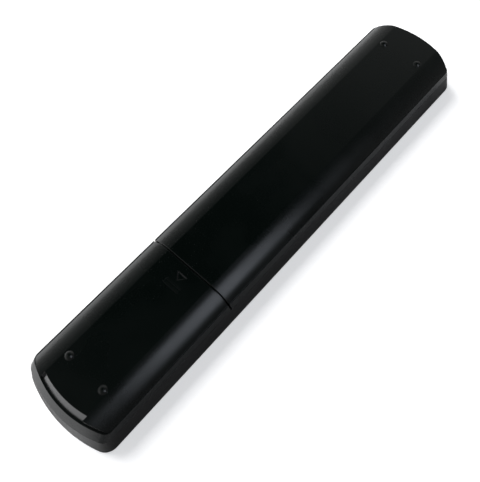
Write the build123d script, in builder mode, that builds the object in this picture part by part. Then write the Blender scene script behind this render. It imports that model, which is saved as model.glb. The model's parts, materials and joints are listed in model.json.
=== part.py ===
from build123d import *

import os

# A long slim remote control, lying on its face with its back up.
# X runs across it, +Y points to the end that sends the infrared light, +Z points up through its back.
# The origin is in the middle of the surface that it lies on. All lengths are millimetres.

# Whole case
case_length = 240.0
case_width = 48.2
parting_height = 9.0
panel_height = 18.2
side_flare = 1.9
end_flare = 3.0
near_bulge = 5.1
far_bulge = 5.3
near_corner = 6.2
far_corner = 6.0
smallest_corner = 0.8
overrun = 1.0
fit_gap = 0.1

# Front shell
rim_width = 1.4
rim_height = 1.0
rim_round = 0.5
plate_thickness = 0.8
web_thickness = 1.4
front_wall = 1.8
lip_wall = 0.9
tongue_depth = 1.4
tongue_wall = 0.8

# Back cover
reveal = 0.3
ledge_height = 13.2
skirt_side_lean = 0.9
skirt_near_lean = 3.2
skirt_far_lean = 1.6
ledge_side = 0.4
ledge_near = 0.9
ledge_far = 0.4
bevel_near = 3.0
bevel_near_slope = 0.6
bevel_far = 1.3
crease_half = 11.65
crease_shift = 0.4
crease_round = 0.3
slope_crown = 0.95
cover_wall = 1.5
nub_radius = 1.9
nub_height = 1.0
nub_half_spacing = 9.4
nub_near_distance = 21.6
nub_far_distance = 20.6

# Battery door and its seam
seam_gap = 0.7
seam_chamfer = 0.25
arrow_width = 5.4
arrow_length = 3.4
arrow_depth = 0.45
arrow_wall_lean = 45
arrow_seam_distance = 3.8
grip_bar_length = 8.0
grip_bar_width = 0.7
grip_bar_height = 0.25
grip_bar_pitch = 1.7
grip_bar_count = 2
latch_width = 4.0
latch_length = 3.0
latch_thickness = 1.0
latch_gap = 0.3
hook_length = 10.0
hook_thickness = 1.2
hook_reach = 2.3
hook_gap = 0.3
hook_seam_distance = 17.6
hook_pitch = -32.0
hook_count = 2

# Batteries and their bay
cell_diameter = 10.5
cell_length = 44.5
cell_nub_length = 0.8
cell_nub_diameter = 3.8
cell_end_round = 0.5
cell_spacing = 10.9
cell_door_gap = 0.5
cell_floor_gap = 0.15
cell_side_gap = 0.4
contact_thickness = 0.4
contact_gap = 0.05
contact_width = 8.0
contact_height = 7.0
contact_strip_width = 3.0
contact_strip_lap = 2.5
spring_length = 5.6
spring_base_radius = 3.6
spring_tip_radius = 2.4
bay_seam_distance = 5.1
tray_wall = 1.2
tray_floor = 1.2
tray_top_drop = 1.6
rail_height = 11.0
rail_thickness = 1.2
rail_width = 3.0
bulkhead_thickness = 2.0
bulkhead_lap = 1.2
bulkhead_gap = 0.2
slot_gap = 0.4
tray_rib_thickness = 1.5
tray_rib_count = 4

# Case screws
screw_end_distance = 13.9
screw_half_spacing = 8.5
screw_tray_distance = 5.4
screw_ear_radius = 3.6
screw_ear_height = 8.0
screw_ear_thickness = 1.2
screw_shank_radius = 1.0
screw_shank_gap = 0.05
screw_hole_gap = 0.2
screw_head_radius = 1.9
screw_head_height = 1.3
screw_slot_width = 0.6
screw_slot_depth = 0.6
screw_slot_share = 0.7
screw_tip_margin = 0.6
boss_radius = 2.6

# Circuit board, membrane and what they carry
board_side_gap = 4.3
board_seam_distance = 3.4
board_end_distance = 16.0
board_corner = 3.0
board_thickness = 1.2
membrane_thickness = 0.7
dome_height = 0.75
dome_base_radius = 2.6
dome_top_radius = 1.7
dome_roof = 0.6
dome_hollow_radius = 1.6
pill_radius = 1.3
pill_thickness = 0.3
key_press_gap = 0.1
frame_rib_width = 1.2
post_radius = 1.5
post_board_distance = 12.0
post_count = 4
chip_size = 9.0
chip_height = 1.5
chip_lift = 0.15
chip_board_distance = 28.0
chip_pin_count = 8
chip_pin_pitch = 1.0
chip_pin_width = 0.4
chip_pin_length = 1.4
chip_pin_height = 0.6
resonator_width = 7.2
resonator_depth = 2.6
resonator_height = 4.4
resonator_chip_distance = 20.0
resonator_x = 8.5
capacitor_radius = 2.5
capacitor_height = 7.0
capacitor_round = 0.5
capacitor_x = 8.0
capacitor_board_distance = 42.0
transistor_radius = 2.3
transistor_flat = 1.2
transistor_height = 4.6
transistor_lift = 1.6
transistor_leg_width = 0.5
transistor_leg_pitch = 1.27
transistor_x = 7.0
transistor_board_distance = 20.0
transistor_leg_count = 3
resistor_length = 2.0
resistor_width = 1.25
resistor_height = 0.5
resistor_pitch = 7.0
resistor_count = 6
resistor_x = -6.0
resistor_resonator_distance = 12.0

# Infrared lamp, its window, and the indicator lamp
lamp_radius = 2.5
lamp_flange_radius = 2.9
lamp_flange_length = 1.0
lamp_length = 8.6
lamp_drop = 0.9
lamp_lead_width = 0.5
lamp_lead_pitch = 2.54
lamp_lead_lap = 1.6
lamp_window_gap = 1.1
window_half_width = 9.0
window_depth = 9.0
window_bottom = 3.8
window_gap = 0.08
window_flange = 1.2
window_flange_thickness = 0.8
indicator_radius = 1.5
indicator_flange_radius = 1.9
indicator_flange_thickness = 0.8
indicator_gap = 0.15
indicator_end_distance = 20.5
indicator_recess = 0.2

# Keys
key_clear_of_table = 0.3
key_travel = 0.8
key_side_gap = 0.25
key_flange = 0.7
key_flange_thickness = 0.7
key_rest_gap = 0.05
key_crown_round = 0.4
column_pitch = 12.5
row_pitch = 10.2
first_row_end_distance = 28.0
plain_key_width = 9.0
plain_key_height = 6.0
plain_key_corner = 2.4
round_key_radius = 3.4
small_key_width = 7.0
small_key_height = 4.6
small_key_corner = 1.4
small_column_pitch = 9.4
pad_outer_radius = 13.4
pad_ring_width = 6.0
pad_gap = 1.9
pad_corner = 0.8
select_key_gap = 2.1
corner_key_gap = 1.6
corner_key_across = 14.0
pad_row_gap = 1.05
play_row_gap = 1.75
mute_row_share = 5.5

# Heights and places that follow from the values above
plate_back = rim_height + plate_thickness
web_back = plate_back + web_thickness
flange_front = web_back + key_rest_gap
flange_back = flange_front + key_flange_thickness
dome_top = flange_back + key_travel + key_press_gap
membrane_front = dome_top + dome_height
board_front = membrane_front + membrane_thickness
board_back = board_front + board_thickness
cover_bottom = parting_height + reveal
inner_panel = panel_height - cover_wall
cell_height = inner_panel - cell_door_gap - cell_diameter / 2
floor_top = cell_height - cell_diameter / 2 - cell_floor_gap
floor_bottom = floor_top - tray_floor
tray_top = inner_panel - tray_top_drop
near_end = -case_length / 2
far_end = case_length / 2
screw_y = near_end + screw_end_distance
tray_near_y = screw_y + screw_tray_distance
bay_length = cell_length + spring_length + 2 * (contact_thickness + contact_gap)
bay_near_y = tray_near_y + tray_wall
bay_far_y = bay_near_y + bay_length
seam_y = bay_far_y + bay_seam_distance
nub_near_y = near_end + nub_near_distance
nub_far_y = far_end - nub_far_distance
nub_ball_radius = (nub_radius**2 + nub_height**2) / (2 * nub_height)
tray_inner_half = cell_spacing / 2 + cell_diameter / 2 + cell_side_gap
tray_half = tray_inner_half + tray_wall
bulkhead_near_y = seam_y - bulkhead_lap
bulkhead_far_y = bulkhead_near_y + bulkhead_thickness
seam_far_y = seam_y + seam_gap / 2
seam_near_y = seam_y - seam_gap / 2
ear_top = screw_ear_height + screw_ear_thickness
board_half_width = case_width / 2 - board_side_gap
board_near_y = seam_y + board_seam_distance
board_far_y = far_end - board_end_distance
chip_y = board_near_y + chip_board_distance
resonator_y = chip_y + resonator_chip_distance
resistor_first_y = resonator_y + resistor_resonator_distance
capacitor_y = board_far_y - capacitor_board_distance
transistor_y = board_far_y - transistor_board_distance
indicator_y = far_end - indicator_end_distance
lamp_height = board_back - lamp_drop
inner_crease = crease_half - crease_shift
hull_side = side_flare + skirt_side_lean + ledge_side
hull_near = end_flare + skirt_near_lean + ledge_near
hull_far = end_flare + skirt_far_lean + ledge_far
hull_half = case_width / 2 - hull_side
slope_start = crease_half + crease_round
slope_end_y = near_end + hull_near + near_bulge + bevel_near + near_corner
room_half = hull_half - cover_wall
slope_middle = (room_half + inner_crease) / 2
slope_middle_height = (ledge_height + inner_panel) / 2 + slope_crown
hook_leg_x = tray_half + rail_width + hook_gap
latch_top = inner_panel - latch_gap
lamp_tip_y = far_end - end_flare * lamp_height / parting_height - front_wall - lamp_window_gap
lamp_base_y = lamp_tip_y - lamp_length
pad_inner_radius = pad_outer_radius - pad_ring_width
pad_middle_radius = (pad_outer_radius + pad_inner_radius) / 2
select_key_radius = pad_inner_radius - select_key_gap
first_row_y = far_end - first_row_end_distance
last_grid_y = first_row_y - row_pitch * 6
corner_key_reach = pad_outer_radius + round_key_radius + 2 * key_flange + corner_key_gap
corner_key_along = (corner_key_reach**2 - corner_key_across**2) ** 0.5
pad_half_length = corner_key_along + round_key_radius + 2 * key_flange + pad_row_gap
pad_y = last_grid_y - plain_key_height / 2 - pad_half_length
small_row_y = pad_y - pad_half_length - small_key_height / 2
play_row_y = small_row_y - (small_key_height + plain_key_height) / 2 - 2 * key_flange - play_row_gap

# Keys on the three-column grid, with column and row numbers. Columns run from left to right as seen from
# the front, which is towards -X.
grid_keys = [
    ("power", "round", -1, 0),
    ("source", "round", 1, 0),
    ("digit_1", "plain", -1, 1),
    ("digit_2", "plain", 0, 1),
    ("digit_3", "plain", 1, 1),
    ("digit_4", "plain", -1, 2),
    ("digit_5", "plain", 0, 2),
    ("digit_6", "plain", 1, 2),
    ("digit_7", "plain", -1, 3),
    ("digit_8", "plain", 0, 3),
    ("digit_9", "plain", 1, 3),
    ("dash", "plain", -1, 4),
    ("digit_0", "plain", 0, 4),
    ("recall", "plain", 1, 4),
    ("volume_up", "plain", -1, 5),
    ("volume_down", "plain", -1, 6),
    ("mute", "round", 0, mute_row_share),
    ("channel_up", "plain", 1, 5),
    ("channel_down", "plain", 1, 6),
]
keys = [
    (f"{name}_key", kind, 0, (-column_pitch * column, first_row_y - row_pitch * row))
    for name, kind, column, row in grid_keys
]
for column, name in ((-1, "rewind"), (0, "play"), (1, "forward")):
    keys.append((f"{name}_key", "plain", 0, (-column_pitch * column, play_row_y)))
for index, name in enumerate(("red", "green", "yellow", "blue")):
    keys.append((f"{name}_key", "small", 0, (small_column_pitch * (1.5 - index), small_row_y)))
for name, across, along in (("menu", -1, 1), ("guide", 1, 1), ("back", -1, -1), ("exit", 1, -1)):
    place = (-corner_key_across * across, pad_y + corner_key_along * along)
    keys.append((f"{name}_key", "round", 0, place))
for name, turn in (("up", 0), ("right", 90), ("down", 180), ("left", 270)):
    keys.append((f"{name}_key", "pad", turn, (0, pad_y)))
keys.append(("select_key", "select", 0, (0, pad_y)))

os.makedirs("parts", exist_ok=True)


def save(piece, label):
    """Names a finished piece and writes it."""
    piece.part.label = label
    export_step(piece.part, f"parts/{label}.step")


def outline(side_in, near_in, far_in):
    """Plan outline of the case, moved in from the face's own outline: straight sides and bowed ends."""
    half = case_width / 2 - side_in
    near = near_end + near_in
    far = far_end - far_in
    with BuildLine() as border:
        Line((half, near + near_bulge), (half, far - far_bulge))
        ThreePointArc((half, far - far_bulge), (0, far), (-half, far - far_bulge))
        Line((-half, far - far_bulge), (-half, near + near_bulge))
        ThreePointArc((-half, near + near_bulge), (0, near), (half, near + near_bulge))
    make_face(border.edges())
    fillet(vertices().group_by(Axis.Y)[0], max(near_corner - side_in, smallest_corner))
    fillet(vertices().group_by(Axis.Y)[-1], max(far_corner - side_in, smallest_corner))


def front_outline(height, wall):
    """Outline of the front shell's wall at a height, a wall's thickness in from its outside."""
    lean = height / parting_height
    outline(side_flare * lean + wall, end_flare * lean + wall, end_flare * lean + wall)


def cover_section(half, bottom, ledge, crease, top):
    """Cross-section of the back cover above its ledge, with a flat panel between two bowed slopes."""
    with BuildLine() as border:
        Polyline((-half, ledge), (-half, bottom), (half, bottom), (half, ledge))
        SagittaArc((half, ledge), (crease, top), -slope_crown)
        Line((crease, top), (-crease, top))
        SagittaArc((-crease, top), (-half, ledge), -slope_crown)
    make_face(border.edges())


def places(first, pitch, count):
    """Evenly spaced places along one line."""
    return [first + pitch * index for index in range(count)]


def block(low, high, mode=Mode.ADD):
    """A plain block between any two opposite corners."""
    with Locations((Vector(low) + Vector(high)) / 2):
        Box(*[abs(far - near) for near, far in zip(low, high)], mode=mode)


def key_shape(kind):
    """Plan shape of a key, around the middle of the key or, for a pad key, of the pad."""
    with BuildSketch() as shape:
        if kind == "plain":
            RectangleRounded(plain_key_width, plain_key_height, plain_key_corner)
        elif kind == "small":
            RectangleRounded(small_key_width, small_key_height, small_key_corner)
        elif kind == "round":
            Circle(round_key_radius)
        elif kind == "select":
            Circle(select_key_radius)
        else:
            apex = pad_gap / 2**0.5
            Circle(pad_outer_radius)
            Circle(pad_inner_radius, mode=Mode.SUBTRACT)
            with BuildLine():
                Polyline(
                    (0, apex),
                    (pad_outer_radius, apex + pad_outer_radius),
                    (-pad_outer_radius, apex + pad_outer_radius),
                    close=True,
                )
            make_face(mode=Mode.INTERSECT)
            fillet(vertices(), pad_corner)
    return shape.sketch


def grown(shape, growth):
    """A flat shape with a margin all round."""
    with BuildSketch() as larger:
        add(shape)
        offset(amount=growth)
    return larger.sketch


def key_windows(height):
    """The hole for every key, with its side gap, at one height."""
    with BuildSketch(Plane.XY.offset(height)) as windows:
        for wanted in ("plain", "small", "round", "select", "pad"):
            window = grown(key_shape(wanted), key_side_gap)
            seats = [Location((*place, 0), (0, 0, turn)) for _, kind, turn, place in keys if kind == wanted]
            with Locations(seats):
                add(window)
    return windows.sketch


def dome_places(height):
    """The middle of every key's own face, at one height."""
    spots = []
    for _, kind, turn, place in keys:
        middle = Vector(0, pad_middle_radius if kind == "pad" else 0).rotate(Axis.Z, turn)
        spots.append(middle + Vector(*place, height))
    return spots


def board_shape(inset, height):
    """Plan shape that the circuit board, the membrane and the rib under them share."""
    with BuildSketch(Plane.XY.offset(height)) as shape:
        with Locations((0, (board_near_y + board_far_y) / 2)):
            length = board_far_y - board_near_y - 2 * inset
            RectangleRounded(2 * (board_half_width - inset), length, board_corner - inset)
    return shape.sketch


def facing(x, y, height, way):
    """A plane across the case's length, facing the far end (way 1) or the near end (way -1)."""
    return Plane((x, y, height), x_dir=(1, 0, 0), z_dir=(0, way, 0))


def cover_hull(near_bevel):
    """The back cover above its ledge, with the run of the bevel at its near end."""
    with BuildPart() as hull:
        with BuildSketch(Plane.XY.offset(ledge_height)):
            outline(hull_side, hull_near, hull_far)
        with BuildSketch(Plane.XY.offset(panel_height)):
            outline(hull_side, hull_near + near_bevel, hull_far + bevel_far)
        loft(ruled=True)
        with BuildSketch(Plane.XZ):
            cover_section(hull_half, ledge_height - overrun, ledge_height, crease_half, panel_height)
        extrude(amount=case_length, both=True, mode=Mode.INTERSECT)
    return hull.part


panel_hull = cover_hull(bevel_near)
slope_hull = cover_hull(bevel_near_slope)

# Near ends of the two slopes, which stay out at full height beside the panel's own bevel
with BuildPart() as slope_ends:
    for side in (-1, 1):
        block(
            (side * slope_start, near_end, ledge_height - overrun),
            (side * (hull_half + overrun), slope_end_y, panel_height),
        )
    add(slope_hull, mode=Mode.INTERSECT)

# Outside of the back cover: a leaning skirt, a narrow ledge, and a hull with slopes and end bevels
with BuildPart() as cover_outside:
    add(panel_hull)
    crisp = edges().filter_by(lambda edge: edge.center().Z > panel_height - crease_round)
    fillet(crisp, crease_round)
    add(slope_ends.part)
    with BuildSketch(Plane.XY.offset(cover_bottom)):
        outline(side_flare, end_flare, end_flare)
    with BuildSketch(Plane.XY.offset(ledge_height)):
        outline(side_flare + skirt_side_lean, end_flare + skirt_near_lean, end_flare + skirt_far_lean)
    loft(ruled=True)

# Room inside the back cover, one wall in from its outside
with BuildPart() as cover_inside:
    with BuildSketch(Plane.XY.offset(ledge_height - cover_wall)):
        outline(hull_side + cover_wall, hull_near + cover_wall, hull_far + cover_wall)
    with BuildSketch(Plane.XY.offset(inner_panel)):
        half_wall = cover_wall / 2
        outline(hull_side + cover_wall, hull_near + bevel_near + half_wall, hull_far + bevel_far + half_wall)
    loft(ruled=True)
    with BuildSketch(Plane.XZ):
        cover_section(room_half, ledge_height - 2 * cover_wall, ledge_height, inner_crease, inner_panel)
    extrude(amount=case_length, both=True, mode=Mode.INTERSECT)
    with BuildSketch(Plane.XY.offset(cover_bottom)):
        outline(side_flare + cover_wall, end_flare + cover_wall, end_flare + cover_wall)
    with BuildSketch(Plane.XY.offset(ledge_height - cover_wall)):
        outline(hull_side + cover_wall, hull_near + cover_wall, hull_far + cover_wall)
    loft(ruled=True)

with BuildPart() as cover_skin:
    add(cover_outside.part)
    add(cover_inside.part, mode=Mode.SUBTRACT)


def nub_pair(y):
    """Two low domes side by side on the panel, rooted halfway down its wall."""
    ball_height = panel_height + nub_height - nub_ball_radius
    with BuildPart() as domes:
        with Locations((-nub_half_spacing, y, ball_height), (nub_half_spacing, y, ball_height)):
            Sphere(nub_ball_radius)
        split(bisect_by=Plane.XY.offset(panel_height), keep=Keep.TOP)
        with BuildSketch(Plane.XY.offset(panel_height)):
            with Locations((-nub_half_spacing, y), (nub_half_spacing, y)):
                Circle(nub_radius)
        extrude(amount=-cover_wall / 2)
    return domes.part


far_nubs = nub_pair(nub_far_y)
near_nubs = nub_pair(nub_near_y)

# Back shell: the cover on the far side of the seam, and the battery tray that runs on under the door
with BuildPart() as back_shell:
    add(cover_skin.part)
    split(bisect_by=Plane.XZ.offset(-seam_far_y), keep=Keep.BOTTOM)
    cut = edges().group_by(Axis.Y)[0]
    chamfer(cut.filter_by(lambda edge: edge.center().Z > inner_panel + cover_wall / 2), seam_chamfer)
    add(far_nubs)

# Tongue that drops inside the front shell's wall, round the far part of the case
with BuildPart() as tongue:
    outer_in = lip_wall + fit_gap
    with BuildSketch(Plane.XY.offset(parting_height - tongue_depth)):
        outline(side_flare + outer_in, end_flare + outer_in, end_flare + outer_in)
    extrude(amount=reveal + tongue_depth * 1.5)
    inner_in = outer_in + tongue_wall
    with BuildSketch(Plane.XY.offset(parting_height - tongue_depth)):
        outline(side_flare + inner_in, end_flare + inner_in, end_flare + inner_in)
    extrude(amount=reveal + tongue_depth * 1.5, mode=Mode.SUBTRACT)
    split(bisect_by=Plane.XZ.offset(-seam_far_y), keep=Keep.BOTTOM)

# Wall across the case under the seam, a little smaller where the door slides over it
with BuildPart() as bulkhead:
    with BuildSketch(Plane.XZ.offset(-bulkhead_far_y)):
        cover_section(room_half, floor_bottom, ledge_height, inner_crease, inner_panel)
    extrude(amount=bulkhead_far_y - seam_far_y)
    with BuildSketch(Plane.XZ.offset(-seam_far_y)):
        low = ledge_height - bulkhead_gap
        cover_section(room_half - bulkhead_gap, floor_bottom, low, inner_crease, inner_panel - bulkhead_gap)
    extrude(amount=seam_far_y - bulkhead_near_y)

# Open tray for the two batteries, with a rail along each side and two ears for the case screws
with BuildPart() as tray:
    block((-tray_half, tray_near_y, floor_bottom), (tray_half, bulkhead_near_y, tray_top))
    for near, far in ((bay_near_y, bay_far_y), (bay_far_y + tray_wall, bulkhead_near_y)):
        block((-tray_inner_half, near, floor_top), (tray_inner_half, far, panel_height), Mode.SUBTRACT)
    for side in (-1, 1):
        block(
            (side * (tray_half + rail_width), tray_near_y, rail_height),
            (side * tray_inner_half, bulkhead_near_y, rail_height + rail_thickness),
        )
    with BuildSketch(Plane.XY.offset(screw_ear_height)):
        with Locations((-screw_half_spacing, screw_y), (screw_half_spacing, screw_y)):
            Circle(screw_ear_radius)
        with Locations((0, (screw_y + tray_near_y) / 2)):
            Rectangle(2 * (screw_half_spacing + screw_ear_radius), tray_near_y - screw_y)
    extrude(amount=screw_ear_thickness)
    with Locations((-screw_half_spacing, screw_y, ear_top), (screw_half_spacing, screw_y, ear_top)):
        Hole(screw_shank_radius + screw_hole_gap, depth=screw_ear_thickness)

# Posts that hold the circuit board down
with BuildPart() as posts:
    post_first_y = board_near_y + post_board_distance
    post_pitch = (board_far_y - post_board_distance - post_first_y) / (post_count - 1)
    with BuildSketch(Plane.XY.offset(board_back)):
        for y in places(post_first_y, post_pitch, post_count):
            with Locations((-slope_middle, y), (slope_middle, y)):
                Circle(post_radius)
    extrude(amount=slope_middle_height - board_back)

with BuildPart() as whole_back_shell:
    add(back_shell.part)
    add(tongue.part)
    add(bulkhead.part)
    add(tray.part)
    add(posts.part)
    notch_half = latch_width / 2 + latch_gap
    notch_bottom = latch_top - latch_thickness - latch_gap
    block(
        (-notch_half, bulkhead_near_y - overrun, notch_bottom),
        (notch_half, bulkhead_far_y + overrun, inner_panel),
        Mode.SUBTRACT,
    )
    slot_half = contact_strip_width / 2 + slot_gap
    for x in (-cell_spacing / 2, cell_spacing / 2):
        block(
            (x - slot_half, bay_far_y - overrun, board_back - slot_gap),
            (x + slot_half, bulkhead_far_y + overrun, board_back + contact_thickness + slot_gap),
            Mode.SUBTRACT,
        )
save(whole_back_shell, "back_shell")

# Hooks of the battery door, which reach round the tray's rails and end in the door's skin
with BuildPart() as door_hooks:
    foot_top = rail_height - hook_gap
    foot_bottom = foot_top - hook_thickness
    arm_bottom = rail_height + rail_thickness + hook_gap
    for side in (-1, 1):
        inner_x, leg_x = side * (hook_leg_x - hook_reach), side * hook_leg_x
        outer_x = side * (hook_leg_x + hook_thickness)
        for y in places(seam_y - hook_seam_distance, hook_pitch, hook_count):
            near, far = y - hook_length / 2, y + hook_length / 2
            block((inner_x, near, arm_bottom), (outer_x, far, panel_height))
            block((leg_x, near, foot_bottom), (outer_x, far, panel_height))
            block((inner_x, near, foot_bottom), (outer_x, far, foot_top))
    add(cover_outside.part, mode=Mode.INTERSECT)

# Battery door: the cover on the near side of the seam
with BuildPart() as battery_door:
    add(cover_skin.part)
    split(bisect_by=Plane.XZ.offset(-seam_near_y), keep=Keep.TOP)
    add(near_nubs)
    arrow_y = seam_y - arrow_seam_distance
    with BuildSketch(Plane.XY.offset(panel_height)):
        with BuildLine():
            Polyline(
                (-arrow_width / 2, arrow_y),
                (arrow_width / 2, arrow_y),
                (0, arrow_y - arrow_length),
                close=True,
            )
        make_face()
    extrude(amount=-arrow_depth, taper=arrow_wall_lean, mode=Mode.SUBTRACT)
    with BuildSketch(Plane.XY.offset(panel_height)):
        first_bar_y = arrow_y - arrow_length - grip_bar_pitch
        with Locations([(0, y) for y in places(first_bar_y, -grip_bar_pitch, grip_bar_count)]):
            SlotOverall(grip_bar_length, grip_bar_width)
    extrude(amount=grip_bar_height)
    add(door_hooks.part)
    latch_half = latch_width / 2
    root_y = seam_near_y - latch_length
    latch_bottom = latch_top - latch_thickness
    block((-latch_half, root_y, latch_bottom), (latch_half, seam_near_y, inner_panel + cover_wall / 2))
    block((-latch_half, root_y, latch_bottom), (latch_half, seam_far_y + latch_length, latch_top))
save(battery_door, "battery_door")

# Front shell: its leaning wall, the web that the keys come through, and what stands on the web
with BuildPart() as front_body:
    for height in (0, parting_height):
        with BuildSketch(Plane.XY.offset(height)):
            front_outline(height, 0)
    loft(ruled=True)
    fillet(edges().group_by(Axis.Z)[0], rim_round)

with BuildPart() as front_room:
    for height in (web_back, parting_height):
        with BuildSketch(Plane.XY.offset(height)):
            front_outline(height, front_wall)
    loft(ruled=True)

with BuildPart() as lip_cut:
    with BuildSketch(Plane.XY.offset(parting_height - tongue_depth)):
        outline(side_flare + lip_wall, end_flare + lip_wall, end_flare + lip_wall)
    extrude(amount=tongue_depth + overrun)

# Shafts that the keys and the indicator lamp come through
with BuildPart() as key_shafts:
    extrude(key_windows(rim_height - overrun), amount=plate_thickness + web_thickness + 2 * overrun)
    with BuildSketch(Plane.XY.offset(rim_height - overrun)):
        with Locations((0, indicator_y)):
            Circle(indicator_radius + indicator_gap)
    extrude(amount=plate_thickness + web_thickness + 2 * overrun)

window_near_y = far_end - window_depth
with BuildPart() as front_shell:
    add(front_body.part)
    add(front_room.part, mode=Mode.SUBTRACT)
    add(lip_cut.part, mode=Mode.SUBTRACT)
    with BuildSketch():
        outline(rim_width, rim_width, rim_width)
    extrude(amount=plate_back, mode=Mode.SUBTRACT)
    extrude(board_shape(0, plate_back), amount=membrane_front - plate_back)
    extrude(board_shape(frame_rib_width, web_back), amount=membrane_front - web_back, mode=Mode.SUBTRACT)
    rib_pitch = bay_length / tray_rib_count
    for y in places(bay_near_y + rib_pitch / 2, rib_pitch, tray_rib_count):
        half = tray_rib_thickness / 2
        block((-tray_half, y - half, plate_back), (tray_half, y + half, floor_bottom))
    with BuildSketch(Plane.XY.offset(plate_back)):
        with Locations((-screw_half_spacing, screw_y), (screw_half_spacing, screw_y)):
            Circle(boss_radius)
    extrude(amount=screw_ear_height - plate_back)
    for x in (-screw_half_spacing, screw_half_spacing):
        with Locations((x, screw_y, screw_ear_height)):
            Hole(screw_shank_radius + screw_shank_gap, depth=screw_ear_height - plate_back - screw_tip_margin)
    add(key_shafts.part, mode=Mode.SUBTRACT)
    block(
        (-window_half_width, window_near_y, window_bottom),
        (window_half_width, far_end + overrun, parting_height + overrun),
        Mode.SUBTRACT,
    )
save(front_shell, "front_shell")

# Window of dark red plastic that closes the opening in the far end, with a flange behind the wall
with BuildPart() as flange_room:
    for height in (web_back, parting_height):
        with BuildSketch(Plane.XY.offset(height)):
            front_outline(height, front_wall + fit_gap / 2)
    loft(ruled=True)

with BuildPart() as flange_hollow:
    for height in (web_back, parting_height):
        with BuildSketch(Plane.XY.offset(height)):
            front_outline(height, front_wall + fit_gap / 2 + window_flange_thickness)
    loft(ruled=True)

window_top = parting_height - window_gap
flange_top = parting_height - tongue_depth - fit_gap
with BuildPart() as window_flanges:
    block(
        (-window_half_width - window_flange, window_near_y - window_depth, window_bottom - window_gap),
        (window_half_width + window_flange, far_end, flange_top),
    )
    add(flange_room.part, mode=Mode.INTERSECT)
    add(flange_hollow.part, mode=Mode.SUBTRACT)
    split(bisect_by=Plane.XZ.offset(-window_near_y), keep=Keep.BOTTOM)

with BuildPart() as infrared_window:
    block(
        (-window_half_width + window_gap, window_near_y, window_bottom + window_gap),
        (window_half_width - window_gap, far_end + overrun, window_top),
    )
    add(front_body.part, mode=Mode.INTERSECT)
    add(flange_room.part, mode=Mode.SUBTRACT)
    add(lip_cut.part, mode=Mode.SUBTRACT)
    add(window_flanges.part)
save(infrared_window, "infrared_window")

# Face plate, set into the rim
with BuildPart() as face_plate:
    with BuildSketch(Plane.XY.offset(rim_height)):
        outline(rim_width + fit_gap, rim_width + fit_gap, rim_width + fit_gap)
    extrude(amount=plate_thickness)
    add(key_shafts.part, mode=Mode.SUBTRACT)
save(face_plate, "face_plate")

# Keys: a crowned stem through the plate, and a flange that rests on the web
for label, kind, turn, place in keys:
    with BuildPart() as key:
        with BuildSketch(Plane((*place, key_clear_of_table)).rotated((0, 0, turn))):
            add(key_shape(kind))
        extrude(amount=flange_front - key_clear_of_table)
        fillet(edges().group_by(Axis.Z)[0], key_crown_round)
        with BuildSketch(Plane((*place, flange_front)).rotated((0, 0, turn))):
            add(grown(key_shape(kind), key_flange))
        extrude(amount=key_flange_thickness)
    save(key, label)

# Rubber membrane, with a dome under each key, drawn as low as a pressed key leaves it
with BuildPart() as keypad_membrane:
    extrude(board_shape(0, membrane_front), amount=membrane_thickness)
    with Locations(dome_places((dome_top + membrane_front) / 2)):
        Cone(dome_top_radius, dome_base_radius, dome_height)
    hollow_front = dome_top + dome_roof
    with Locations(dome_places((hollow_front + board_front) / 2)):
        Cylinder(dome_hollow_radius, board_front - hollow_front, mode=Mode.SUBTRACT)
    with Locations((0, indicator_y, board_front)):
        Hole(indicator_flange_radius + indicator_gap, depth=membrane_thickness)
save(keypad_membrane, "keypad_membrane")

with BuildPart() as carbon_pills:
    with Locations(dome_places(hollow_front + pill_thickness / 2)):
        Cylinder(pill_radius, pill_thickness)
save(carbon_pills, "carbon_pills")

# Circuit board and the parts soldered to its back
with BuildPart() as circuit_board:
    extrude(board_shape(0, board_front), amount=board_thickness)
save(circuit_board, "circuit_board")

with BuildPart() as microcontroller:
    half = chip_size / 2
    chip_bottom = board_back + chip_lift
    block((-half, chip_y - half, chip_bottom), (half, chip_y + half, chip_bottom + chip_height))
    with Locations((0, chip_y, board_back + chip_pin_height / 2)):
        with GridLocations(chip_size + chip_pin_length, chip_pin_pitch, 2, chip_pin_count):
            Box(chip_pin_length, chip_pin_width, chip_pin_height)
        with GridLocations(chip_pin_pitch, chip_size + chip_pin_length, chip_pin_count, 2):
            Box(chip_pin_width, chip_pin_length, chip_pin_height)
save(microcontroller, "microcontroller")

with BuildPart() as resonator:
    half_width, half_depth = resonator_width / 2, resonator_depth / 2
    block(
        (resonator_x - half_width, resonator_y - half_depth, board_back),
        (resonator_x + half_width, resonator_y + half_depth, board_back + resonator_height),
    )
    fillet(edges().filter_by(Axis.Z), resonator_depth / 4)
save(resonator, "resonator")

with BuildPart() as capacitor:
    with BuildSketch(Plane.XY.offset(board_back)):
        with Locations((capacitor_x, capacitor_y)):
            Circle(capacitor_radius)
    extrude(amount=capacitor_height)
    fillet(edges().group_by(Axis.Z)[-1], capacitor_round)
save(capacitor, "capacitor")

with BuildPart() as transistor:
    with BuildSketch(Plane.XY.offset(board_back + transistor_lift)):
        with Locations((transistor_x, transistor_y)):
            Circle(transistor_radius)
        with Locations((transistor_x, transistor_y - transistor_flat - transistor_radius)):
            Rectangle(2 * transistor_radius, 2 * transistor_radius, mode=Mode.SUBTRACT)
    extrude(amount=transistor_height)
    with BuildSketch(Plane.XY.offset(board_back)):
        with Locations((transistor_x, transistor_y)):
            with GridLocations(transistor_leg_pitch, transistor_leg_pitch, transistor_leg_count, 1):
                Rectangle(transistor_leg_width, transistor_leg_width)
    extrude(amount=transistor_lift)
save(transistor, "transistor")

with BuildPart() as chip_resistors:
    for y in places(resistor_first_y, resistor_pitch, resistor_count):
        half_length, half_width = resistor_length / 2, resistor_width / 2
        block(
            (resistor_x - half_length, y - half_width, board_back),
            (resistor_x + half_length, y + half_width, board_back + resistor_height),
        )
save(chip_resistors, "chip_resistors")

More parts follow.
